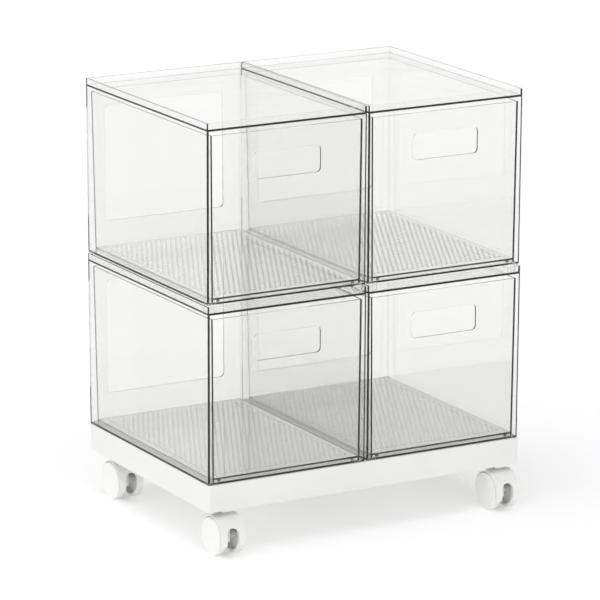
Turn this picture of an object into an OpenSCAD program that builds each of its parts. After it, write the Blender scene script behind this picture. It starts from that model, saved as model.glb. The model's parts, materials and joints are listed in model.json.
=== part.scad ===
// Rolling stack of four clear drawer boxes for shoes.
// Two columns of two boxes stand on a white base with four twin-wheel casters.
// Millimetres, +Z up, floor at zero, drawers open towards -Y. The origin lies on the floor
// under the middle of the whole object, front caster hoods included.

/* [Boxes] */
// Outside width of one case at its rim
case_w = 231; // [180:1:290]
// Outside depth of one case at its rim
case_d = 340; // [260:1:420]
// Height of one case from its lower edge to the top of its rim
case_h = 234; // [160:1:300]
// Thickness of the case walls, floor and top panel
case_wall = 2.5; // [1.8:0.1:4]
// How far a side or the back leans in from the rim to the lower edge
case_draft = 0.4; // [0:0.1:3]
// How far the open front leans back from the rim to the lower edge
front_lean = 2.5; // [0:0.5:6]
// Radius of the upright outside corners of a case
case_corner_r = 1.5; // [1:0.5:4]
// Radius of the upright inside corners of cases and drawers
inside_r = 0.5; // [0.3:0.1:1.5]
// Air between the two columns
column_gap = 2; // [1:0.5:20]

/* [Stacking] */
// Height of the rim above the top panel
rim_h = 8; // [4:0.5:16]
// Air between the rim and the box that stands on it
stack_gap = 2.5; // [1:0.5:8]
// Length of each arm of an L-shaped corner foot
foot_arm = 12; // [8:1:20]
// Thickness of a foot
foot_t = 2.5; // [1.5:0.1:4]
// Side play of a foot inside the rim below it
foot_play = 1; // [0.5:0.1:3]

/* [Back window] */
// Width of the back left on each side of its window
window_side = 29; // [10:1:60]
// Height of the back left above and below its window
window_end = 39; // [20:1:60]
// Corner radius of the window
window_r = 6; // [3:0.5:20]

/* [Drawers] */
// Side play of a drawer in its case, at the top of the drawer
drawer_side_play = 3.2; // [1:0.1:8]
// Extra lean of a drawer side from its top edge to its lower edge
drawer_draft = 1.4; // [0:0.1:3]
// Extra lean of the back of a drawer
drawer_back_lean = 4; // [0:0.5:10]
// Thickness of the drawer walls and floor
drawer_wall = 2.4; // [1.6:0.1:4]
// Gap between the drawer's top edge and the panel above it
drawer_top_gap = 6; // [5:0.5:20]
// How far the drawer front sits behind the front edge of the case
front_recess = 1; // [0.5:0.1:10]
// Gap behind the drawer
drawer_back_gap = 4; // [1:0.5:20]
// Radius of the upright outside corners of a drawer
drawer_corner_r = 1.5; // [1:0.5:4]
// Height of the runners under the drawer floor
runner_h = 2.7; // [1.5:0.1:6]
// Width of a runner
runner_w = 5; // [3:0.5:8]
// Distance from the middle of a runner to the side of the drawer
runner_inset = 10; // [8:1:14]
// Gap between the ends of a runner and the walls in front of it and behind it
runner_end_gap = 1; // [0.5:0.5:10]

/* [Finger slot] */
// Width of the slot in a drawer front
slot_w = 97; // [60:1:130]
// Height of the slot
slot_h = 35; // [22:1:45]
// Corner radius of the slot
slot_r = 6; // [3:0.5:10]
// Distance from the drawer's top edge to the slot
slot_drop = 27; // [15:1:40]

/* [Base] */
// Height of the base
base_h = 36; // [32:1:60]
// Thickness of the skirt around the base
base_wall = 3; // [2:0.1:5]
// Thickness of the deck that the boxes stand over
deck_t = 3; // [2:0.1:5]
// Radius of the upright corners of the base
base_corner_r = 3; // [2:0.5:5]
// Radius of the corners inside the skirt
skirt_inside_r = 2; // [1:0.5:5]
// Thickness of the ribs under the deck
rib_t = 2.5; // [1.5:0.1:4]
// How far the ribs stop short of the lower edge
rib_rise = 8; // [4:0.5:14]
// Wall around a caster socket
socket_wall = 4; // [2:0.5:6]
// How far a caster socket stops short of the deck
socket_roof = 2.8; // [1:0.1:6]

/* [Wheels] */
// Wheel diameter
wheel_d = 50; // [40:1:60]
// Width of one wheel
wheel_w = 10; // [9:0.5:12]
// Distance between the two wheels of a caster
wheel_gap = 18; // [16:1:26]
// Thickness of a wheel's rolling ring
tread_t = 4; // [3:0.5:6]
// Thickness of a wheel's outer disc
disc_t = 2.5; // [1.5:0.1:3.5]
// Rounding of a wheel's edges
wheel_edge_r = 1.5; // [0.5:0.1:2.5]
// Diameter of the wheel axle
axle_d = 6; // [4:0.5:8]
// Distance from the end of the axle to the outer face of a wheel
axle_cover = 3; // [2.5:0.1:4]
// Wall of the hubs around the axle
hub_wall = 3; // [2:0.5:4]

/* [Casters] */
// Distance from the top of the wheels to the underside of the base
caster_clear = 9; // [6:1:30]
// Distance from the swivel axis to the axle
caster_trail = 17; // [12:0.5:18]
// Distance from the side of the base to a swivel axis
caster_inset_x = 26; // [22:1:60]
// Distance from the front or back of the base to a swivel axis
caster_inset_y = 27; // [22:1:60]
// Thickness of the hood
hood_t = 1.8; // [1.2:0.1:2.5]
// Width of the wheels left bare beside the hood
hood_edge = 1.5; // [0.5:0.5:3]
// How far the front of the hood comes down below the axle
hood_drop = 9; // [0:1:12]
// Height of the arch between the wheels above the axle
arch_rise = 14; // [0:1:16]
// Thickness of the middle plate of a housing
web_t = 4; // [3:0.5:6]
// How far the middle plate comes down below the axle
web_drop = 7; // [6:0.5:9]
// Distance from the axle to the front of the middle plate
web_reach = 14; // [8:1:16]
// Diameter of the stem where it is pressed into the base
stem_d = 11; // [9:0.5:12]
// Thickness of the collar between the base and a housing
collar_t = 1.2; // [0.8:0.1:2]
// Width of the collar around the stem
collar_rim = 2.5; // [1:0.5:4]
// Diameter of the pin that a housing turns on
pin_d = 8; // [6:0.5:9]
// Height of the lower end of the pin above the axle
pin_rise = 12; // [11:0.5:14]
// Wall around the pin
boss_wall = 2.5; // [2:0.1:3]
// Thickness of the housing under the pin
boss_floor = 3; // [2:0.5:4]
// Height of a grip ring
ring_h = 3; // [2:0.5:5]
// Distance from the top of a stem to the groove for its grip ring
ring_drop = 6; // [5:0.5:10]
// Depth of that groove
ring_t = 0.4; // [0.3:0.1:0.8]
// Width of the slit in a grip ring
ring_slit = 1.5; // [1:0.1:3]

/* [Clearances] */
// Gap under a part that rests on another
rest_gap = 0.3; // [0.2:0.1:0.6]
// Gap under the drawer runners
slide_gap = 0.3; // [0.2:0.1:0.6]
// Radial running clearance of pins and axles
turn_gap = 0.05; // [0.02:0.01:0.1]
// Gap between the end of a pin or axle and the bottom of its bore
end_gap = 0.5; // [0.2:0.1:1]
// Gap between a stem's collar and the housing below it
collar_gap = 0.3; // [0.2:0.1:0.6]
// Gap between the wheels and the hood over them
hood_gap = 0.8; // [0.5:0.1:2]
// Gap between a wheel and the housing beside it
wheel_side_gap = 0.5; // [0.3:0.1:1]

/* [Hidden] */

round_fn = 96;        // sides of true round faces
corner_fn = 32;       // sides of the blended corners
skin = 0.01;          // thickness of the slices that a hull spans
cut = 1;              // overrun of a cut past the face it opens
joined = 0.5;         // overlap of two shapes that make one piece

// The foot fills the height between the panel below and the case above
foot_h = rim_h + stack_gap - rest_gap;
pitch = case_h + stack_gap;

caster_w = 2 * wheel_w + wheel_gap;
caster_h = wheel_d + caster_clear;

base_w = 2 * case_w + column_gap;
base_d = case_d;
base_top = caster_h + base_h;
lower_z = base_top + rest_gap;
upper_z = lower_z + pitch;
column_x = (case_w + column_gap) / 2;
recess_w = case_w - 2 * case_wall;
recess_d = case_d - 2 * case_wall;
deck_top = base_top - foot_h;
deck_under = deck_top - deck_t;

panel_top = case_h - rim_h;
panel_under = panel_top - case_wall;

drawer_low = case_wall + slide_gap;
drawer_top = panel_under - drawer_top_gap;
drawer_floor = drawer_low + runner_h;

swivel_x = base_w / 2 - caster_inset_x;
swivel_y = base_d / 2 - caster_inset_y;
wheel_r = wheel_d / 2;
hood_inner_r = wheel_r + hood_gap;
hood_outer_r = hood_inner_r + hood_t;
hood_w = caster_w - 2 * hood_edge;
middle_w = wheel_gap - 2 * wheel_side_gap;
hub_r = axle_d / 2 + hub_wall;
axle_len = caster_w - 2 * axle_cover;
boss_r = pin_d / 2 + boss_wall;
boss_top = caster_h - collar_t - collar_gap;
pin_low = wheel_r + pin_rise;
stem_grip = deck_under - caster_h - socket_roof;
groove_z = caster_h + stem_grip - ring_drop;
trim = 2 * wheel_d;   // side of the squares that trim a round profile

// The front hoods reach past the front of the base, so the base sits back by half of that
hood_reach = caster_trail + hood_outer_r - caster_inset_y;
frame_y = max(hood_reach, 0) / 2;

// How far a side or the back has leaned in at height z, and the open front has leaned back
function lean(z) = case_draft * (case_h - z) / case_h;
function lean_back(z) = front_lean * (case_h - z) / case_h;

// Rectangle of the given size with round corners, centred
module round_rect(w, d, r) {
    square([w - 2 * r, d], center = true);
    square([w, d - 2 * r], center = true);
    for (sx = [-1, 1], sy = [-1, 1])
        translate([sx * (w / 2 - r), sy * (d / 2 - r)]) circle(r = r, $fn = round_fn);
}

// Block between two rectangles [x_min, y_min, x_max, y_max], one at z_low and one at z_high
module tapered(low, high, z_low, z_high, r) {
    hull()
        for (level = [[low, z_low], [high, z_high - skin]])
            for (x = [level[0][0] + r, level[0][2] - r], y = [level[0][1] + r, level[0][3] - r])
                translate([x, y, level[1]]) cylinder(r = r, h = skin, $fn = corner_fn);
}

// Outline of a case at height z, moved inwards by inset
function case_outline(z, inset) =
    let (x = case_w / 2 - lean(z) - inset)
    [-x, -case_d / 2 + lean_back(z) + inset, x, case_d / 2 - lean(z) - inset];

// The same outline, with its front edge moved out so that it opens the front
function open_outline(z) =
    let (o = case_outline(z, case_wall))
    [o[0], -case_d / 2 - inside_r - cut, o[2], o[3]];

// One L-shaped foot in the corner given by the signs, inside the rim of the case below
module foot(sx, sy) {
    o = case_outline(0, case_wall + foot_play);
    size_x = [foot_arm, foot_t, foot_h + case_wall / 2];
    size_y = [foot_t, foot_arm, foot_h + case_wall / 2];
    for (size = [size_x, size_y])
        translate([
            sx > 0 ? o[2] - size[0] : o[0],
            sy > 0 ? o[3] - size[1] : o[1],
            -foot_h
        ]) cube(size);
}

// Clear outer case, standing on its lower edge at zero
module case_shell() {
    color([0.86, 0.9, 0.9, 0.35]) difference() {
        union() {
            tapered(case_outline(0, 0), case_outline(case_h, 0), 0, case_h, case_corner_r);
            for (sx = [-1, 1], sy = [-1, 1]) foot(sx, sy);
        }
        // room for the drawer, open at the front
        tapered(
            open_outline(case_wall), open_outline(panel_under),
            case_wall, panel_under, inside_r
        );
        // recess inside the rim
        tapered(
            case_outline(panel_top, case_wall), case_outline(case_h + cut, case_wall),
            panel_top, case_h + cut, inside_r
        );
        // back window
        translate([0, case_d / 2 + cut, case_h / 2]) rotate([90, 0, 0])
            linear_extrude(case_wall + 2 * cut + case_draft)
                round_rect(case_w - 2 * window_side, case_h - 2 * window_end, window_r);
    }
}

// How much of a drawer's own lean is reached at height z, from none at its top edge
function drawer_lean(z) = (drawer_top - z) / (drawer_top - drawer_low);

// Outside faces of a drawer at height z
function drawer_half(z) =
    case_w / 2 - case_wall - lean(z) - drawer_side_play - drawer_draft * drawer_lean(z);
function drawer_front(z) = -case_d / 2 + lean_back(z) + front_recess;
function drawer_back(z) =
    case_d / 2 - case_wall - lean(z) - drawer_back_gap - drawer_back_lean * drawer_lean(z);
function drawer_outline(z, inset) = [
    -drawer_half(z) + inset, drawer_front(z) + inset,
    drawer_half(z) - inset, drawer_back(z) - inset
];

// Clear pull-out drawer, in the same place as its case
module drawer_box() {
    floor_top = drawer_floor + drawer_wall;
    runner_front = drawer_front(drawer_low) + drawer_wall + runner_end_gap;
    runner_back = drawer_back(drawer_low) - drawer_wall - runner_end_gap;
    color([0.82, 0.87, 0.88, 0.35]) difference() {
        union() {
            difference() {
                tapered(
                    drawer_outline(drawer_low, 0), drawer_outline(drawer_top, 0),
                    drawer_low, drawer_top, drawer_corner_r
                );
                // inside of the drawer
                tapered(
                    drawer_outline(floor_top, drawer_wall),
                    drawer_outline(drawer_top + cut, drawer_wall),
                    floor_top, drawer_top + cut, inside_r
                );
                // hollow under the floor, inside the lower edge
                tapered(
                    drawer_outline(drawer_low - cut, drawer_wall),
                    drawer_outline(drawer_floor, drawer_wall),
                    drawer_low - cut, drawer_floor, inside_r
                );
            }
            for (side = [-1, 1])
                translate([
                    side * (drawer_half(drawer_low) - runner_inset) - runner_w / 2,
                    runner_front, drawer_low
                ]) cube([runner_w, runner_back - runner_front, runner_h + drawer_wall / 2]);
        }
        // finger slot
        translate([
            0, drawer_front(drawer_top) + drawer_wall + front_lean + cut,
            drawer_top - slot_drop - slot_h / 2
        ])
            rotate([90, 0, 0]) linear_extrude(drawer_wall + front_lean + 2 * cut)
                round_rect(slot_w, slot_h, slot_r);
    }
}

// Ribbed white base with a pocket for the feet of each column and a socket for each stem
module base() {
    rib_low = caster_h + rib_rise;
    color([0.95, 0.95, 0.94]) difference() {
        union() {
            difference() {
                translate([0, 0, caster_h]) linear_extrude(base_h)
                    round_rect(base_w, base_d, base_corner_r);
                // hollow under the deck
                translate([0, 0, caster_h - cut]) linear_extrude(deck_under - caster_h + cut)
                    round_rect(base_w - 2 * base_wall, base_d - 2 * base_wall, skirt_inside_r);
                // pockets for the feet of the lower boxes
                for (side = [-1, 1])
                    translate([side * column_x, 0, deck_top]) linear_extrude(foot_h + cut)
                        round_rect(recess_w, recess_d, inside_r);
            }
            // ribs from front to back and from side to side
            translate([-rib_t / 2, -base_d / 2 + base_wall / 2, rib_low])
                cube([rib_t, base_d - base_wall, deck_under - rib_low + deck_t / 2]);
            translate([-base_w / 2 + base_wall / 2, -rib_t / 2, rib_low])
                cube([base_w - base_wall, rib_t, deck_under - rib_low + deck_t / 2]);
            // sockets for the caster stems
            at_casters() translate([0, 0, caster_h])
                cylinder(
                    r = stem_d / 2 + socket_wall,
                    h = deck_under - caster_h + deck_t / 2, $fn = round_fn
                );
        }
        at_casters() translate([0, 0, caster_h - cut])
            cylinder(d = stem_d, h = stem_grip + cut, $fn = round_fn);
    }
}

// Repeats what it is given at the four swivel axes
module at_casters() {
    for (sx = [-1, 1], sy = [-1, 1])
        translate([sx * swivel_x, sy * swivel_y, 0]) children();
}

// Steel stem, held in the base, with a collar and the pin that the housing turns on
module stem() {
    color([0.75, 0.75, 0.77]) difference() {
        union() {
            translate([0, 0, caster_h - skin])
                cylinder(d = stem_d, h = stem_grip + skin, $fn = round_fn);
            translate([0, 0, caster_h - collar_t])
                cylinder(r = stem_d / 2 + collar_rim, h = collar_t, $fn = round_fn);
            translate([0, 0, pin_low])
                cylinder(d = pin_d, h = caster_h - pin_low, $fn = round_fn);
        }
        translate([0, 0, groove_z]) difference() {
            cylinder(d = stem_d + cut, h = ring_h, $fn = round_fn);
            cylinder(d = stem_d - 2 * ring_t, h = ring_h, $fn = round_fn);
        }
    }
}

// Split spring rings that grip the sockets, one around each stem
module stem_grip_rings() {
    color([0.6, 0.6, 0.62]) at_casters() translate([0, 0, groove_z]) difference() {
        cylinder(d = stem_d, h = ring_h, $fn = round_fn);
        translate([0, 0, -cut])
            cylinder(d = stem_d - 2 * ring_t, h = ring_h + 2 * cut, $fn = round_fn);
        translate([0, -ring_slit / 2, -cut]) cube([stem_d, ring_slit, ring_h + 2 * cut]);
    }
}

// Turns a profile drawn in Y and Z so that it runs along X, centred
module along_x(length) {
    rotate([90, 0, 90]) translate([0, 0, -length / 2]) linear_extrude(length) children();
}

// Outline of the arch between the wheels, seen from the front, its middle on the axle
module arch() {
    straight = arch_rise - middle_w / 2;
    translate([0, straight]) circle(d = middle_w, $fn = round_fn);
    translate([-middle_w / 2, -wheel_r]) square([middle_w, wheel_r + straight]);
}

// Hood over the wheels, from the back over the top to the front, its axis on the axle
module hood() {
    difference() {
        along_x(hood_w) difference() {
            circle(r = hood_outer_r, $fn = round_fn);
            circle(r = hood_inner_r, $fn = round_fn);
            translate([-trim, -trim - hood_drop]) square(trim);
            translate([0, -trim]) square(trim);
        }
        translate([0, wheel_r / 2 - hood_inner_r, 0]) rotate([90, 0, 0])
            linear_extrude(wheel_r) arch();
    }
}

// Middle plate of a housing, joined to the hood all along its edge
module web() {
    along_x(web_t) difference() {
        circle(r = hood_inner_r + joined, $fn = round_fn);
        translate([-trim, -trim - web_drop]) square([2 * trim, trim]);
        translate([-trim - web_reach, arch_rise - trim]) square(trim);
    }
}

// Hooded caster housing, swivel axis at zero, axle towards -Y
module housing() {
    color([0.96, 0.96, 0.95]) difference() {
        union() {
            translate([0, -caster_trail, wheel_r]) {
                hood();
                web();
                along_x(middle_w) circle(r = hub_r, $fn = round_fn);
            }
            // boss around the swivel pin
            translate([0, 0, pin_low - boss_floor])
                cylinder(r = boss_r, h = boss_top - pin_low + boss_floor, $fn = round_fn);
        }
        translate([0, 0, pin_low - end_gap])
            cylinder(d = pin_d + 2 * turn_gap, h = caster_h, $fn = round_fn);
        translate([0, -caster_trail, wheel_r])
            along_x(caster_w) circle(d = axle_d, $fn = round_fn);
    }
}

// Steel axle pressed through the housing, one wheel on each end
module axle() {
    color([0.75, 0.75, 0.77]) translate([0, -caster_trail, wheel_r])
        along_x(axle_len) circle(d = axle_d, $fn = round_fn);
}

// Half of a section through a wheel: distance from the axle, and from its outer face
module wheel_section() {
    difference() {
        union() {
            square([wheel_r - wheel_edge_r, wheel_w]);
            translate([0, wheel_edge_r]) square([wheel_r, wheel_w - 2 * wheel_edge_r]);
            for (z = [wheel_edge_r, wheel_w - wheel_edge_r])
                translate([wheel_r - wheel_edge_r, z]) circle(r = wheel_edge_r, $fn = round_fn);
        }
        // hollow between the hub and the rolling ring
        translate([hub_r, disc_t]) square([wheel_r - tread_t - hub_r, wheel_w]);
        // blind bore for the axle
        translate([-wheel_w, axle_cover - end_gap])
            square([wheel_w + axle_d / 2 + turn_gap, wheel_w]);
        translate([-trim, -cut]) square([trim, wheel_w + 2 * cut]);
    }
}

// One wheel, its flat disc facing the given side
module wheel(side) {
    color([0.97, 0.97, 0.96])
        translate([side * caster_w / 2, -caster_trail, wheel_r]) rotate([0, -side * 90, 0])
            rotate_extrude($fn = round_fn) wheel_section();
}

// Places a box in its column at height z
module in_stack(column, z) {
    translate([column * column_x, frame_y, z]) children();
}

// Places a caster piece at the swivel axis given by the signs
module in_corner(sx, sy) {
    translate([sx * swivel_x, sy * swivel_y + frame_y, 0]) children();
}

in_stack(0, 0) base();
in_stack(0, 0) stem_grip_rings();

in_stack(-1, lower_z) case_shell();  // case_lower_left
in_stack(1, lower_z) case_shell();  // case_lower_right
in_stack(-1, upper_z) case_shell();  // case_upper_left
in_stack(1, upper_z) case_shell();  // case_upper_right

in_stack(-1, lower_z) drawer_box();  // drawer_lower_left
in_stack(1, lower_z) drawer_box();  // drawer_lower_right
in_stack(-1, upper_z) drawer_box();  // drawer_upper_left
in_stack(1, upper_z) drawer_box();  // drawer_upper_right

in_corner(-1, -1) stem();  // stem_front_left
in_corner(1, -1) stem();  // stem_front_right
in_corner(-1, 1) stem();  // stem_back_left
in_corner(1, 1) stem();  // stem_back_right

in_corner(-1, -1) housing();  // housing_front_left
in_corner(1, -1) housing();  // housing_front_right
in_corner(-1, 1) housing();  // housing_back_left
in_corner(1, 1) housing();  // housing_back_right

in_corner(-1, -1) axle();  // axle_front_left
in_corner(1, -1) axle();  // axle_front_right
in_corner(-1, 1) axle();  // axle_back_left
in_corner(1, 1) axle();  // axle_back_right

in_corner(-1, -1) wheel(-1);  // outer_wheel_front_left
in_corner(1, -1) wheel(1);  // outer_wheel_front_right
in_corner(-1, 1) wheel(-1);  // outer_wheel_back_left
in_corner(1, 1) wheel(1);  // outer_wheel_back_right

in_corner(-1, -1) wheel(1);  // inner_wheel_front_left
in_corner(1, -1) wheel(-1);  // inner_wheel_front_right
in_corner(-1, 1) wheel(1);  // inner_wheel_back_left
in_corner(1, 1) wheel(-1);  // inner_wheel_back_right
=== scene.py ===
"""Dresses a rolling stack of clear drawer boxes for shoes around its fixed frame."""

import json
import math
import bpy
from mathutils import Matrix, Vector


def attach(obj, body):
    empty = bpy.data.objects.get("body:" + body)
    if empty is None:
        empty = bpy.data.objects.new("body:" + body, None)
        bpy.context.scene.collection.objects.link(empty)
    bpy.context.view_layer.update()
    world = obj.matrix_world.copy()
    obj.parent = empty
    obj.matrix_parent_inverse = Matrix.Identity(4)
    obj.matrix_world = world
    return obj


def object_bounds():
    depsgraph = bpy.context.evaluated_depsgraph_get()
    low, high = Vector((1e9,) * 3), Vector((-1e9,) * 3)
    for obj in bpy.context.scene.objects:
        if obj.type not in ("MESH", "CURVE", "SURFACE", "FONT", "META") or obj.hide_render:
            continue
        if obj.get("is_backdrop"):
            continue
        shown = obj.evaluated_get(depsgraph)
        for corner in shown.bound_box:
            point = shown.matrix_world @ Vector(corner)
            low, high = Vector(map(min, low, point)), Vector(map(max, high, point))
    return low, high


bl_info = {
    "name": "Clear shoe box stack",
    "version": (1, 0, 0),
    "blender": (4, 5, 0),
    "location": "3D View > Sidebar > Shoe boxes",
    "description": "Finishes, floor dashes and studio for a rolling stack of clear drawer boxes",
    "category": "Object",
}

import bmesh
import bpy
from bpy.props import FloatProperty, FloatVectorProperty, PointerProperty
from mathutils import Vector

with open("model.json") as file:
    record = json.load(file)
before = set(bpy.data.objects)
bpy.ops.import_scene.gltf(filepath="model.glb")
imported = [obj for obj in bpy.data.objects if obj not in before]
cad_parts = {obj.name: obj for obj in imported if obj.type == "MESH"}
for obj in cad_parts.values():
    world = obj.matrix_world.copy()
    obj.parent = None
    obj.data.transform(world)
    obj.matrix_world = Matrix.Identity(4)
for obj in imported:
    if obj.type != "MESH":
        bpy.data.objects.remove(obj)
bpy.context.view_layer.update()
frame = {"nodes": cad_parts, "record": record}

BOXES = ("lower_left", "lower_right", "upper_left", "upper_right")
CORNERS = ("front_left", "front_right", "back_left", "back_right")
UP = Vector((0, 0, 1))

SHARP_EDGE = math.radians(35)  # steeper edges are rounded, and shaded as edges
FLAT_FACES = math.radians(0.2)  # faces that lie this close to one plane become one face
WELD_DISTANCE = 0.000002
TURNING_DEPTH = 0.00004  # depth of the turning marks on steel
FLOOR_GAP = 0.0002  # height of a drawer's stated inside above its floor
FLOOR_DEPTH = 0.0024  # thickness of a drawer floor
HELPER_SINK = 0.0008  # how far a joined shape reaches into the floor that it joins
DASH_BED = 0.00012  # height above the floor of the plate that carries the dashes
GATE_STEP = 0.0003  # height of each of the two steps of a gate mark
GATE_TAPER = 0.6  # radius of a gate mark's foot over the radius of the mark
GATE_SIDES = 20

BOUNCES = 40  # surfaces that light may cross, enough for every clear wall in the stack
SKY_BANDS = ((0.3, 1.0), (0.45, 0.3), (0.8, 0.25))  # (height, grey), with white below and above
NEAREST_SEEN = 0.1
FARTHEST_SEEN = 200


# ---------------------------------------------------------------- settings


class ClearPlasticSettings(bpy.types.PropertyGroup):
    """Polished clear plastic of the cases and drawers"""

    ior: FloatProperty(
        name="Refraction", description="Index of refraction", default=1.54, min=1.3, max=1.7
    )
    haze: FloatProperty(
        name="Haze",
        description="Roughness where fingers have dulled the gloss",
        default=0.03,
        min=0,
        max=0.3,
    )
    case_clarity: FloatProperty(
        name="Case clarity",
        description="Light that a case wall lets through",
        default=0.965,
        min=0,
        max=1,
    )
    drawer_clarity: FloatProperty(
        name="Drawer clarity",
        description="Light that a drawer wall lets through",
        default=0.99,
        min=0,
        max=1,
    )
    depth_tint: FloatVectorProperty(
        name="Depth tint",
        description="Colour that light takes on along a wall",
        subtype="COLOR",
        default=(0.17, 0.185, 0.17),
        min=0,
        max=1,
    )
    depth_density: FloatProperty(
        name="Depth density",
        description="How fast light dies out along a wall, per metre",
        default=10.0,
        min=0,
    )
    edge_round: FloatProperty(
        name="Edge rounding", description="Radius of moulded edges", default=0.0007, unit="LENGTH"
    )
    wave_depth: FloatProperty(
        name="Waviness",
        description="Depth of the slow waves in a moulded wall",
        default=0.0006,
        unit="LENGTH",
    )


class FloorDashSettings(bpy.types.PropertyGroup):
    """Fine raised dashes on the floor of a drawer, set like bricks"""

    step_across: FloatProperty(
        name="Step across",
        description="Half the distance between dashes in a row",
        default=0.0037,
        unit="LENGTH",
    )
    step_back: FloatProperty(
        name="Step back",
        description="Distance between rows of dashes",
        default=0.0074,
        unit="LENGTH",
    )
    length: FloatProperty(
        name="Length", description="Length of a dash", default=0.0031, unit="LENGTH"
    )
    width: FloatProperty(
        name="Width", description="Width of a dash", default=0.0014, unit="LENGTH"
    )
    slope: FloatProperty(
        name="Slope", description="Width of the slope round a dash", default=0.0004, unit="LENGTH"
    )
    height: FloatProperty(
        name="Height", description="Height of a dash", default=0.0004, unit="LENGTH"
    )
    side_border: FloatProperty(
        name="Side border",
        description="Smooth strip beside the dashes",
        default=0.008,
        unit="LENGTH",
    )
    front_border: FloatProperty(
        name="Front border",
        description="Smooth strip behind the drawer front",
        default=0.014,
        unit="LENGTH",
    )
    gate_radius: FloatProperty(
        name="Gate mark",
        description="Radius of the moulding mark in the middle",
        default=0.0016,
        unit="LENGTH",
    )


class WhitePlasticSettings(bpy.types.PropertyGroup):
    """White plastic of the base and the casters"""

    base_colour: FloatVectorProperty(
        name="Base colour",
        description="Colour of the base",
        subtype="COLOR",
        default=(0.85, 0.85, 0.84),
        min=0,
        max=1,
    )
    caster_colour: FloatVectorProperty(
        name="Caster colour",
        description="Colour of the caster housings and wheels",
        subtype="COLOR",
        default=(0.88, 0.88, 0.865),
        min=0,
        max=1,
    )
    base_gloss: FloatProperty(
        name="Base gloss", description="Mean roughness of the base", default=0.42, min=0, max=1
    )
    caster_gloss: FloatProperty(
        name="Caster gloss", description="Mean roughness of the hoods", default=0.3, min=0, max=1
    )
    grain: FloatProperty(
        name="Grain", description="Depth of the moulded grain", default=0.00012, unit="LENGTH"
    )
    edge_round: FloatProperty(
        name="Edge rounding", description="Radius of moulded edges", default=0.0006, unit="LENGTH"
    )


class SteelSettings(bpy.types.PropertyGroup):
    """Zinc plated steel of the stems, rings and axles"""

    colour: FloatVectorProperty(
        name="Colour",
        description="Colour of the plating",
        subtype="COLOR",
        default=(0.62, 0.63, 0.65),
        min=0,
        max=1,
    )
    edge_round: FloatProperty(
        name="Edge rounding", description="Radius of turned edges", default=0.0003, unit="LENGTH"
    )


class StudioSettings(bpy.types.PropertyGroup):
    """Camera, floor and soft light"""

    azimuth: FloatProperty(
        name="Azimuth",
        description="Camera direction round the stack",
        default=math.radians(-29.21),
        subtype="ANGLE",
    )
    elevation: FloatProperty(
        name="Elevation",
        description="Camera height above the horizon",
        default=math.radians(14.13),
        subtype="ANGLE",
    )
    distance: FloatProperty(
        name="Distance",
        description="From the camera to the middle of the stack",
        default=5.550,
        unit="LENGTH",
    )
    lens: FloatProperty(
        name="Lens", description="Focal length", default=252.27, subtype="DISTANCE_CAMERA"
    )
    aim_left: FloatProperty(
        name="Aim left",
        description="How far the camera aims left of the middle",
        default=0.0080,
        unit="LENGTH",
    )
    aim_down: FloatProperty(
        name="Aim down",
        description="How far the camera aims below the middle",
        default=0.0068,
        unit="LENGTH",
    )
    floor_colour: FloatVectorProperty(
        name="Floor colour",
        description="Colour of the pale floor",
        subtype="COLOR",
        default=(0.9, 0.9, 0.9),
        min=0,
        max=1,
    )
    floor_size: FloatProperty(
        name="Floor size", description="Side of the floor", default=60.0, unit="LENGTH"
    )
    table_glow: FloatProperty(
        name="Table glow",
        description="Light that comes up through the floor",
        default=0.25,
        min=0,
        max=1,
    )
    sky: FloatProperty(
        name="Sky", description="Strength of the light from all round", default=1.0, min=0
    )
    key: FloatProperty(
        name="Key", description="Strength of the broad light from above", default=1.3, min=0
    )
    key_turn: FloatProperty(
        name="Key turn",
        description="Direction of the broad light round the stack",
        default=math.radians(200),
        subtype="ANGLE",
    )
    fill: FloatProperty(
        name="Fill", description="Strength of the light from the side", default=0.15, min=0
    )
    fill_turn: FloatProperty(
        name="Fill turn",
        description="Direction of the light from the side round the stack",
        default=math.radians(-60),
        subtype="ANGLE",
    )


class StackSettings(bpy.types.PropertyGroup):
    """All the settings of the stack"""

    clear: PointerProperty(type=ClearPlasticSettings)
    dashes: PointerProperty(type=FloorDashSettings)
    white: PointerProperty(type=WhitePlasticSettings)
    steel: PointerProperty(type=SteelSettings)
    studio: PointerProperty(type=StudioSettings)


# ---------------------------------------------------------------- shader tools


def new_material(name):
    """An empty node material and its output node."""
    material = bpy.data.materials.new(name)
    material.use_nodes = True
    material.node_tree.nodes.clear()
    return material, material.node_tree.nodes.new("ShaderNodeOutputMaterial")


def add_node(tree, kind, **values):
    """A shader node with the given values on its inputs, whose names have _ for a space."""
    node = tree.nodes.new(kind)
    for name, value in values.items():
        node.inputs[name.replace("_", " ")].default_value = value
    return node


def noise(tree, scale, detail, roughness):
    """Noise over the piece's own coordinates, in metres, as a number from 0 to 1."""
    place = add_node(tree, "ShaderNodeTexCoord")
    texture = add_node(tree, "ShaderNodeTexNoise", Scale=scale, Detail=detail, Roughness=roughness)
    tree.links.new(place.outputs["Object"], texture.inputs["Vector"])
    return texture.outputs["Fac"]


def spread(tree, source, low, high, to_low, to_high):
    """source from low to high, stretched over to_low to to_high."""
    reach = add_node(tree, "ShaderNodeMapRange")
    ends = {"From Min": low, "From Max": high, "To Min": to_low, "To Max": to_high}
    for name, value in ends.items():
        reach.inputs[name].default_value = value
    tree.links.new(source, reach.inputs["Value"])
    return reach.outputs["Result"]


def bump(tree, height, depth, strength, under=None):
    """A normal that follows height, whose full swing is depth metres."""
    node = add_node(tree, "ShaderNodeBump", Strength=strength, Distance=depth)
    tree.links.new(height, node.inputs["Height"])
    if under:
        tree.links.new(under, node.inputs["Normal"])
    return node.outputs["Normal"]


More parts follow.
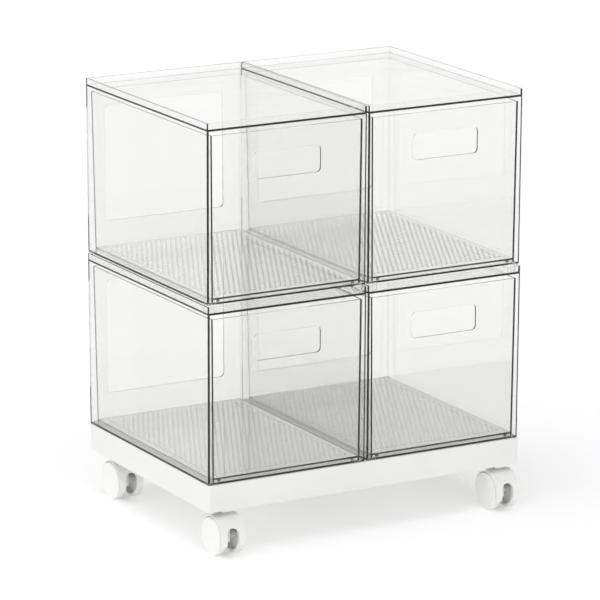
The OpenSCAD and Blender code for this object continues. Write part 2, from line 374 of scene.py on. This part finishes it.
def blend_colours(tree, factor, first, second):
    """A colour that goes from first to second with factor."""
    mix = tree.nodes.new("ShaderNodeMix")
    mix.data_type = "RGBA"
    mix.inputs[6].default_value = (*first, 1)
    mix.inputs[7].default_value = (*second, 1)
    tree.links.new(factor, mix.inputs[0])
    return mix.outputs[2]


def shade(colour, amount):
    """colour made lighter or darker by amount."""
    return tuple(min(1.0, channel * amount) for channel in colour)


# ---------------------------------------------------------------- materials


def clear_plastic(name, look, clarity):
    """Polished plastic that is clear across a wall and dark along it."""
    material, output = new_material(name)
    tree = material.node_tree
    body = add_node(
        tree,
        "ShaderNodeBsdfPrincipled",
        Base_Color=(clarity, clarity, clarity * 0.995, 1),
        Transmission_Weight=1.0,
        IOR=look.ior,
    )
    smears = spread(tree, noise(tree, scale=11, detail=4, roughness=0.6), 0.52, 0.72, 0, look.haze)
    tree.links.new(smears, body.inputs["Roughness"])
    swells = noise(tree, scale=16, detail=1, roughness=0.4)
    waves = bump(tree, swells, look.wave_depth, strength=0.35)
    tree.links.new(waves, body.inputs["Normal"])

    # lamps shine through the walls without bending
    passing = add_node(tree, "ShaderNodeBsdfTransparent", Color=(0.96, 0.96, 0.96, 1))
    path = add_node(tree, "ShaderNodeLightPath")
    choice = add_node(tree, "ShaderNodeMixShader")
    tree.links.new(path.outputs["Is Shadow Ray"], choice.inputs[0])
    tree.links.new(body.outputs[0], choice.inputs[1])
    tree.links.new(passing.outputs[0], choice.inputs[2])
    tree.links.new(choice.outputs[0], output.inputs["Surface"])

    depth = add_node(
        tree,
        "ShaderNodeVolumeAbsorption",
        Color=(*look.depth_tint, 1),
        Density=look.depth_density,
    )
    tree.links.new(depth.outputs[0], output.inputs["Volume"])
    return material


def grained_plastic(name, colour, grain, gloss):
    """White moulded plastic with a fine grain and slow changes of tone."""
    material, output = new_material(name)
    tree = material.node_tree
    body = add_node(tree, "ShaderNodeBsdfPrincipled", IOR=1.5)
    clouds = noise(tree, scale=9, detail=3, roughness=0.55)
    tone = spread(tree, clouds, 0.35, 0.65, 0, 1)
    tones = blend_colours(tree, tone, shade(colour, 0.975), shade(colour, 1.01))
    tree.links.new(tones, body.inputs["Base Color"])
    rubbing = noise(tree, scale=60, detail=5, roughness=0.6)
    polish = spread(tree, rubbing, 0.3, 0.7, gloss - 0.05, gloss + 0.06)
    tree.links.new(polish, body.inputs["Roughness"])
    swells = noise(tree, scale=20, detail=2, roughness=0.5)
    slow = bump(tree, swells, grain * 2, strength=0.3)
    grains = noise(tree, scale=1800, detail=3, roughness=0.55)
    fine = bump(tree, grains, grain, strength=0.5, under=slow)
    tree.links.new(fine, body.inputs["Normal"])
    tree.links.new(body.outputs[0], output.inputs["Surface"])
    return material


def wheel_plastic(name, colour, grain):
    """White wheel plastic, scuffed and greyer on the rolling ring than on the flat disc."""
    material, output = new_material(name)
    tree = material.node_tree
    body = add_node(tree, "ShaderNodeBsdfPrincipled", IOR=1.5)
    place = add_node(tree, "ShaderNodeTexCoord")
    split = add_node(tree, "ShaderNodeSeparateXYZ")
    tree.links.new(place.outputs["Normal"], split.inputs[0])
    sideways = add_node(tree, "ShaderNodeMath")
    sideways.operation = "ABSOLUTE"
    tree.links.new(split.outputs["X"], sideways.inputs[0])
    rolling = spread(tree, sideways.outputs[0], 0.05, 0.6, 1, 0)
    scratches = noise(tree, scale=240, detail=6, roughness=0.7)
    scuffs = spread(tree, scratches, 0.42, 0.68, 0.15, 1)
    wear = add_node(tree, "ShaderNodeMath")
    wear.operation = "MULTIPLY"
    tree.links.new(rolling, wear.inputs[0])
    tree.links.new(scuffs, wear.inputs[1])
    tones = blend_colours(tree, wear.outputs[0], colour, shade(colour, 0.86))
    tree.links.new(tones, body.inputs["Base Color"])
    tree.links.new(spread(tree, wear.outputs[0], 0, 1, 0.34, 0.62), body.inputs["Roughness"])
    grains = noise(tree, scale=1500, detail=3, roughness=0.5)
    fine = bump(tree, grains, grain, strength=0.5)
    tree.links.new(fine, body.inputs["Normal"])
    tree.links.new(body.outputs[0], output.inputs["Surface"])
    return material


def plated_steel(name, colour):
    """Zinc plated steel with faint turning marks."""
    material, output = new_material(name)
    tree = material.node_tree
    body = add_node(tree, "ShaderNodeBsdfPrincipled", Metallic=1.0)
    clouds = noise(tree, scale=300, detail=4, roughness=0.6)
    tone = spread(tree, clouds, 0.35, 0.65, 0, 1)
    tones = blend_colours(tree, tone, shade(colour, 0.85), colour)
    tree.links.new(tones, body.inputs["Base Color"])
    tree.links.new(spread(tree, tone, 0, 1, 0.24, 0.38), body.inputs["Roughness"])
    turning = noise(tree, scale=2500, detail=2, roughness=0.5)
    marks = bump(tree, turning, TURNING_DEPTH, strength=0.4)
    tree.links.new(marks, body.inputs["Normal"])
    tree.links.new(body.outputs[0], output.inputs["Surface"])
    return material


def floor_paint(name, colour, glow):
    """Matt pale light table with a barely uneven tone."""
    material, output = new_material(name)
    tree = material.node_tree
    body = add_node(
        tree,
        "ShaderNodeBsdfPrincipled",
        IOR=1.3,
        Roughness=0.9,
        Emission_Color=(1, 1, 1, 1),
        Emission_Strength=glow,
    )
    clouds = noise(tree, scale=1.5, detail=3, roughness=0.5)
    tone = spread(tree, clouds, 0.3, 0.7, 0, 1)
    tones = blend_colours(tree, tone, shade(colour, 0.995), colour)
    tree.links.new(tones, body.inputs["Base Color"])
    tree.links.new(body.outputs[0], output.inputs["Surface"])
    return material


# ---------------------------------------------------------------- mesh tools


def smooth_by_angle():
    """A node group that shades smooth, with steeper edges left sharp."""
    name = "smooth_shallow_edges"
    group = bpy.data.node_groups.get(name)
    if group:
        return group
    group = bpy.data.node_groups.new(name, "GeometryNodeTree")
    group.interface.new_socket("Geometry", in_out="INPUT", socket_type="NodeSocketGeometry")
    group.interface.new_socket("Geometry", in_out="OUTPUT", socket_type="NodeSocketGeometry")
    start = group.nodes.new("NodeGroupInput")
    end = group.nodes.new("NodeGroupOutput")
    angle = group.nodes.new("GeometryNodeInputMeshEdgeAngle")
    shallow = group.nodes.new("FunctionNodeCompare")
    shallow.operation = "LESS_THAN"
    shallow.inputs[1].default_value = SHARP_EDGE
    faces = group.nodes.new("GeometryNodeSetShadeSmooth")
    faces.domain = "FACE"
    edges = group.nodes.new("GeometryNodeSetShadeSmooth")
    edges.domain = "EDGE"
    group.links.new(angle.outputs["Unsigned Angle"], shallow.inputs[0])
    group.links.new(start.outputs[0], faces.inputs["Geometry"])
    group.links.new(faces.outputs[0], edges.inputs["Geometry"])
    group.links.new(shallow.outputs[0], edges.inputs["Shade Smooth"])
    group.links.new(edges.outputs[0], end.inputs[0])
    return group


def round_edges(piece, radius, steps=3, join=()):
    """Rounds the sharp edges of a piece, joins helpers to it and shades it as one moulding."""
    weld = piece.modifiers.new("weld", "WELD")
    weld.merge_threshold = WELD_DISTANCE
    flat = piece.modifiers.new("flat faces", "DECIMATE")
    flat.decimate_type = "DISSOLVE"
    flat.angle_limit = FLAT_FACES
    bevel = piece.modifiers.new("rounded edges", "BEVEL")
    bevel.width = radius
    bevel.segments = steps
    bevel.limit_method = "ANGLE"
    bevel.angle_limit = SHARP_EDGE
    bevel.use_clamp_overlap = True
    for helper in join:
        union = piece.modifiers.new("joined " + helper.name, "BOOLEAN")
        union.operation = "UNION"
        union.solver = "MANIFOLD"
        union.object = helper
    shading = piece.modifiers.new("shading", "NODES")
    shading.node_group = smooth_by_angle()
    weights = piece.modifiers.new("weighted normals", "WEIGHTED_NORMAL")
    weights.weight = 100
    weights.keep_sharp = True


def dress(node, material, radius, steps=3, join=()):
    """Gives a CAD node its material and its rounded edges."""
    piece = frame["nodes"][node]
    piece.data.materials.clear()
    piece.data.materials.append(material)
    round_edges(piece, radius, steps, join)
    return piece


def new_object(name, mesh_maker):
    """A mesh object filled in by mesh_maker."""
    mesh = bpy.data.meshes.new(name)
    made = bmesh.new()
    mesh_maker(made)
    bmesh.ops.recalc_face_normals(made, faces=made.faces)
    made.to_mesh(mesh)
    made.free()
    piece = bpy.data.objects.new(name, mesh)
    bpy.context.scene.collection.objects.link(piece)
    return piece


def opening(name):
    """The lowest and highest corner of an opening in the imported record."""
    for entry in frame["record"]["physics"]["openings"]:
        if entry["name"] == name:
            return Vector(entry["box_m"][0]), Vector(entry["box_m"][1])
    raise ValueError(f"the record has no opening named {name}")


# ---------------------------------------------------------------- drawer floors


def dash_lines(low, high, step, size, slope):
    """(place, index, raised) of every grid line that the dashes need between low and high."""
    count = max(2, round((high - low - size) / step))
    step = (high - low - size) / count
    lines = []
    for index in range(count + 1):
        middle = low + size / 2 + index * step
        crown = size / 2 - slope
        for offset, raised in ((-size / 2, 0), (-crown, 1), (crown, 1), (size / 2, 0)):
            lines.append((middle + offset, index, raised))
    return lines


def dash_plate(made, low, high, bottom, top, look):
    """A plate between two corners, from bottom to top, with rows of dashes on it."""
    across = dash_lines(low.x, high.x, look.step_across, look.length, look.slope)
    back = dash_lines(low.y, high.y, look.step_back, look.width, look.slope)
    grid = []
    for y, row, raised_y in back:
        line = []
        for x, column, raised_x in across:
            raised = raised_x and raised_y and (row + column) % 2 == 0
            line.append(made.verts.new((x, y, top + look.height * raised)))
        grid.append(line)
    for row, next_row in zip(grid, grid[1:]):
        for index in range(len(row) - 1):
            made.faces.new((row[index], row[index + 1], next_row[index + 1], next_row[index]))
    rim = (
        grid[0][:-1]
        + [row[-1] for row in grid[:-1]]
        + grid[-1][:0:-1]
        + [row[0] for row in grid[:0:-1]]
    )
    under = [made.verts.new((vertex.co.x, vertex.co.y, bottom)) for vertex in rim]
    for index, vertex in enumerate(rim):
        after = (index + 1) % len(rim)
        made.faces.new((vertex, rim[after], under[after], under[index]))
    made.faces.new(under)


def gate_mark(made, middle, underside, radius):
    """The low round mark that the moulding gate leaves under a floor."""
    foot = underside - GATE_STEP
    levels = (
        (underside + HELPER_SINK, radius),
        (foot, radius),
        (foot - GATE_STEP, radius * GATE_TAPER),
    )
    rings = []
    for height, size in levels:
        ring = []
        for index in range(GATE_SIDES):
            turn = index * math.tau / GATE_SIDES
            ring.append(
                made.verts.new(
                    (middle.x + size * math.cos(turn), middle.y + size * math.sin(turn), height)
                )
            )
        rings.append(ring)
    for ring, next_ring in zip(rings, rings[1:]):
        for index in range(GATE_SIDES):
            after = (index + 1) % GATE_SIDES
            made.faces.new((ring[index], ring[after], next_ring[after], next_ring[index]))
    made.faces.new(rings[0])
    made.faces.new(rings[-1])


def hide_helper(piece, box):
    """Keeps a helper out of the picture and lets it ride with its drawer."""
    piece.hide_render = True
    piece.display_type = "WIRE"
    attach(piece, f"{box}_drawer")
    return piece


def floor_helpers(box, look):
    """The hidden shapes that are joined to one drawer's floor."""
    low, high = opening(f"drawer_{box}_inside")
    floor = low.z - FLOOR_GAP
    corner = Vector((low.x + look.side_border, low.y + look.front_border, 0))
    far = Vector((high.x - look.side_border, high.y - look.side_border, 0))
    plate = new_object(
        f"floor_dashes_{box}",
        lambda made: dash_plate(made, corner, far, floor - HELPER_SINK, floor + DASH_BED, look),
    )
    middle = (low + high) / 2
    mark = new_object(
        f"gate_mark_{box}",
        lambda made: gate_mark(made, middle, floor - FLOOR_DEPTH, look.gate_radius),
    )
    return [hide_helper(plate, box), hide_helper(mark, box)]


# ---------------------------------------------------------------- operators


class SHOES_OT_studio(bpy.types.Operator):
    """Make the pale floor, the soft light and the camera"""

    bl_idname = "shoes.studio"
    bl_label = "Studio"

    def execute(self, context):
        look = context.scene.shoe_stack.studio
        self.make_floor(look)
        self.make_light(context.scene, look)
        self.make_camera(context.scene, look)
        self.set_depth(context.scene)
        return {"FINISHED"}

    def make_floor(self, look):
        half = look.floor_size / 2
        corners = ((-half, -half), (half, -half), (half, half), (-half, half))

        def plane(made):
            made.faces.new([made.verts.new((x, y, 0)) for x, y in corners])

        floor = new_object("floor", plane)
        floor.data.materials.append(floor_paint("pale_floor", look.floor_colour, look.table_glow))
        floor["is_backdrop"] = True

    def make_light(self, scene, look):
        world = bpy.data.worlds.new("soft_sky")
        world.use_nodes = True
        scene.world = world
        tree = world.node_tree
        tree.nodes.clear()
        place = add_node(tree, "ShaderNodeTexCoord")
        split = add_node(tree, "ShaderNodeSeparateXYZ")
        tree.links.new(place.outputs["Generated"], split.inputs[0])
        ramp = add_node(tree, "ShaderNodeValToRGB")
        bands = ramp.color_ramp.elements
        bands[0].color = bands[1].color = (1, 1, 1, 1)
        for height, grey in SKY_BANDS:
            bands.new(height).color = (grey, grey, grey, 1)
        tree.links.new(split.outputs["Z"], ramp.inputs[0])
        sky = add_node(tree, "ShaderNodeBackground", Strength=look.sky)
        tree.links.new(ramp.outputs[0], sky.inputs["Color"])
        output = add_node(tree, "ShaderNodeOutputWorld")
        tree.links.new(sky.outputs[0], output.inputs["Surface"])

        self.add_lamp(scene, "key_light", look.key, look.key_turn, from_top=35, width=90)
        self.add_lamp(scene, "fill_light", look.fill, look.fill_turn, from_top=50, width=100)

    def add_lamp(self, scene, name, strength, turn, from_top, width):
        """A lamp as wide as a soft box, from_top degrees from overhead and width degrees across."""
        lamp = bpy.data.lights.new(name, "SUN")
        lamp.energy = strength
        lamp.angle = math.radians(width)
        holder = bpy.data.objects.new(name, lamp)
        holder.rotation_euler = (0, math.radians(from_top), turn)
        scene.collection.objects.link(holder)

    def make_camera(self, scene, look):
        low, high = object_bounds()
        centre = (low + high) / 2
        flat = math.cos(look.elevation)
        back = Vector(
            (
                math.sin(look.azimuth) * flat,
                -math.cos(look.azimuth) * flat,
                math.sin(look.elevation),
            )
        )
        right = UP.cross(back).normalized()
        above = back.cross(right)
        aim = centre - right * look.aim_left - above * look.aim_down
        data = bpy.data.cameras.new("camera")
        data.lens = look.lens
        data.clip_start = NEAREST_SEEN
        data.clip_end = FARTHEST_SEEN
        camera = bpy.data.objects.new("camera", data)
        camera.location = aim + back * look.distance
        camera.rotation_mode = "QUATERNION"
        camera.rotation_quaternion = (-back).to_track_quat("-Z", "Y")
        scene.collection.objects.link(camera)
        scene.camera = camera

    def set_depth(self, scene):
        """Lets light cross every clear wall in the stack."""
        scene.cycles.max_bounces = BOUNCES
        scene.cycles.transmission_bounces = BOUNCES
        scene.cycles.glossy_bounces = 12
        scene.cycles.diffuse_bounces = 4
        scene.cycles.transparent_max_bounces = 48
        scene.cycles.use_denoising = True
        scene.view_settings.view_transform = "Standard"


class SHOES_OT_cases(bpy.types.Operator):
    """Finish the four clear cases"""

    bl_idname = "shoes.cases"
    bl_label = "Cases"

    def execute(self, context):
        look = context.scene.shoe_stack.clear
        plastic = clear_plastic("clear_case", look, look.case_clarity)
        for box in BOXES:
            dress(f"case_{box}", plastic, look.edge_round)
        return {"FINISHED"}


class SHOES_OT_drawers(bpy.types.Operator):
    """Finish the four clear drawers and texture their floors"""

    bl_idname = "shoes.drawers"
    bl_label = "Drawers"

    def execute(self, context):
        settings = context.scene.shoe_stack
        plastic = clear_plastic("clear_drawer", settings.clear, settings.clear.drawer_clarity)
        for box in BOXES:
            helpers = floor_helpers(box, settings.dashes)
            dress(f"drawer_{box}", plastic, settings.clear.edge_round, join=helpers)
        return {"FINISHED"}


class SHOES_OT_base(bpy.types.Operator):
    """Finish the white rolling base"""

    bl_idname = "shoes.base"
    bl_label = "Base"

    def execute(self, context):
        look = context.scene.shoe_stack.white
        plastic = grained_plastic("white_base", look.base_colour, look.grain, look.base_gloss)
        dress("base", plastic, look.edge_round)
        return {"FINISHED"}


class SHOES_OT_casters(bpy.types.Operator):
    """Finish the four caster housings and their wheels"""

    bl_idname = "shoes.casters"
    bl_label = "Casters"

    def execute(self, context):
        look = context.scene.shoe_stack.white
        colour = look.caster_colour
        grain = look.grain * 0.5  # small mouldings are smoother than the base
        housing = grained_plastic("caster_housing", colour, grain, look.caster_gloss)
        wheel = wheel_plastic("caster_wheel", colour, grain)
        edge_round = look.edge_round * 0.7
        for corner in CORNERS:
            dress(f"housing_{corner}", housing, edge_round)
            for side in ("outer", "inner"):
                dress(f"{side}_wheel_{corner}", wheel, edge_round)
        return {"FINISHED"}


class SHOES_OT_metal(bpy.types.Operator):
    """Finish the steel stems, grip rings and axles"""

    bl_idname = "shoes.metal"
    bl_label = "Stems and axles"

    def execute(self, context):
        look = context.scene.shoe_stack.steel
        steel = plated_steel("steel", look.colour)
        dress("stem_grip_rings", steel, look.edge_round * 0.3, 2)
        for corner in CORNERS:
            dress(f"stem_{corner}", steel, look.edge_round, 2)
            dress(f"axle_{corner}", steel, look.edge_round, 2)
        return {"FINISHED"}


OPERATORS = (
    SHOES_OT_studio,
    SHOES_OT_cases,
    SHOES_OT_drawers,
    SHOES_OT_base,
    SHOES_OT_casters,
    SHOES_OT_metal,
)


class SHOES_PT_stack(bpy.types.Panel):
    """Buttons for every group of pieces"""

    bl_label = "Shoe boxes"
    bl_idname = "SHOES_PT_stack"
    bl_space_type = "VIEW_3D"
    bl_region_type = "UI"
    bl_category = "Shoe boxes"

    def draw(self, context):
        for operator in OPERATORS:
            self.layout.operator(operator.bl_idname)


GROUPS = (
    ClearPlasticSettings,
    FloorDashSettings,
    WhitePlasticSettings,
    SteelSettings,
    StudioSettings,
    StackSettings,
)


def register():
    for item in (*GROUPS, *OPERATORS, SHOES_PT_stack):
        bpy.utils.register_class(item)
    bpy.types.Scene.shoe_stack = PointerProperty(type=StackSettings)


def unregister():
    del bpy.types.Scene.shoe_stack
    for item in reversed((*GROUPS, *OPERATORS, SHOES_PT_stack)):
        bpy.utils.unregister_class(item)


def main():
    """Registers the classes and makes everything."""
    register()
    bpy.ops.shoes.studio()
    bpy.ops.shoes.cases()
    bpy.ops.shoes.drawers()
    bpy.ops.shoes.base()
    bpy.ops.shoes.casters()
    bpy.ops.shoes.metal()


if __name__ == "__main__":
    main()
